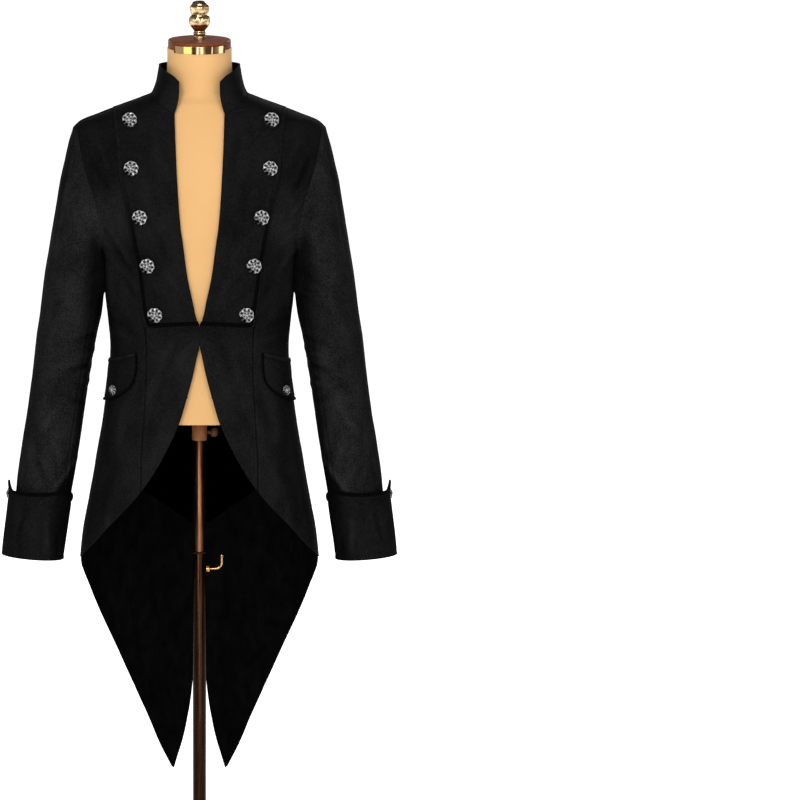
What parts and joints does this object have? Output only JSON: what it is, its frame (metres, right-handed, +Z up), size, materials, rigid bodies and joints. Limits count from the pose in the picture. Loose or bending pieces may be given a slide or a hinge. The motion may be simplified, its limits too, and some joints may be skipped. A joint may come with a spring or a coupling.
{
  "type": "velvet tail coat on a limbless dress form with a pole stand",
  "caption": "Velvet tail coat with a buttoned bib, stand collar and turned-back cuffs, worn by a limbless dress form on a pole stand.",
  "frame": {"origin": "middle of the base's underside, on the floor and on the pole's axis", "axes": "+Z up along the pole, the coat's front faces -Y, the wearer's left is +X"},
  "size_m": [0.6864, 0.34, 1.6654],
  "materials": {
    "velvet": "black cotton velvet pile",
    "braid": "dull black plaited braid",
    "silver": "antique silver casting",
    "form_cover": "peach jersey cover",
    "wood": "satin mahogany",
    "brass": "polished",
    "bronze": "dark bronze lacquer"
  },
  "bodies": {
    "stand": {"base": "bronze", "tube": "bronze", "lock_boss": "bronze"},
    "lock": {"lock_handle": "brass"},
    "mast": {"rod": "bronze"},
    "dressed_form": {"centre_front_left": "velvet", "centre_front_right": "velvet", "side_front_left": "velvet", "side_front_right": "velvet", "centre_back_left": "velvet", "centre_back_right": "velvet", "side_back_left": "velvet", "side_back_right": "velvet", "bib_left": "velvet", "bib_right": "velvet", "flap_left": "velvet", "flap_right": "velvet", "upper_sleeve_left": "velvet", "upper_sleeve_right": "velvet", "under_sleeve_left": "velvet", "under_sleeve_right": "velvet", "cuff_left": "velvet", "cuff_right": "velvet", "collar": "velvet", "bib_trim_left": "braid", "bib_trim_right": "braid", "flap_piping_left": "braid", "flap_piping_right": "braid", "cuff_trim_left": "braid", "cuff_trim_right": "braid", "button_1_left": "silver", "button_1_right": "silver", "button_2_left": "silver", "button_2_right": "silver", "button_3_left": "silver", "button_3_right": "silver", "button_4_left": "silver", "button_4_right": "silver", "button_5_left": "silver", "button_5_right": "silver", "flap_button_left": "silver", "flap_button_right": "silver", "cuff_button_left": "silver", "cuff_button_right": "silver", "torso_form": "form_cover", "neck_cap": "wood", "socket": "wood", "cap_plate": "brass", "finial": "brass"},
    "knob": {"socket_knob": "wood"}
  },
  "joints": [
    {"name": "height", "type": "slide", "parent": "stand", "child": "mast", "axis": [0, 0, 1], "range_m": [-0.17, 0.15]},
    {"name": "turn", "type": "hinge", "parent": "mast", "child": "dressed_form", "pos_m": [0, 0, 0.911], "axis": [0, 0, 1], "continuous": true},
    {"name": "lock_turn", "type": "hinge", "parent": "stand", "child": "lock", "pos_m": [0.0184, 0, 0.67], "axis": [1, 0, 0], "range_deg": [-180, 180]},
    {"name": "knob_turn", "type": "hinge", "parent": "dressed_form", "child": "knob", "pos_m": [0.0137, 0, 0.911], "axis": [1, 0, 0], "continuous": true}
  ]
}
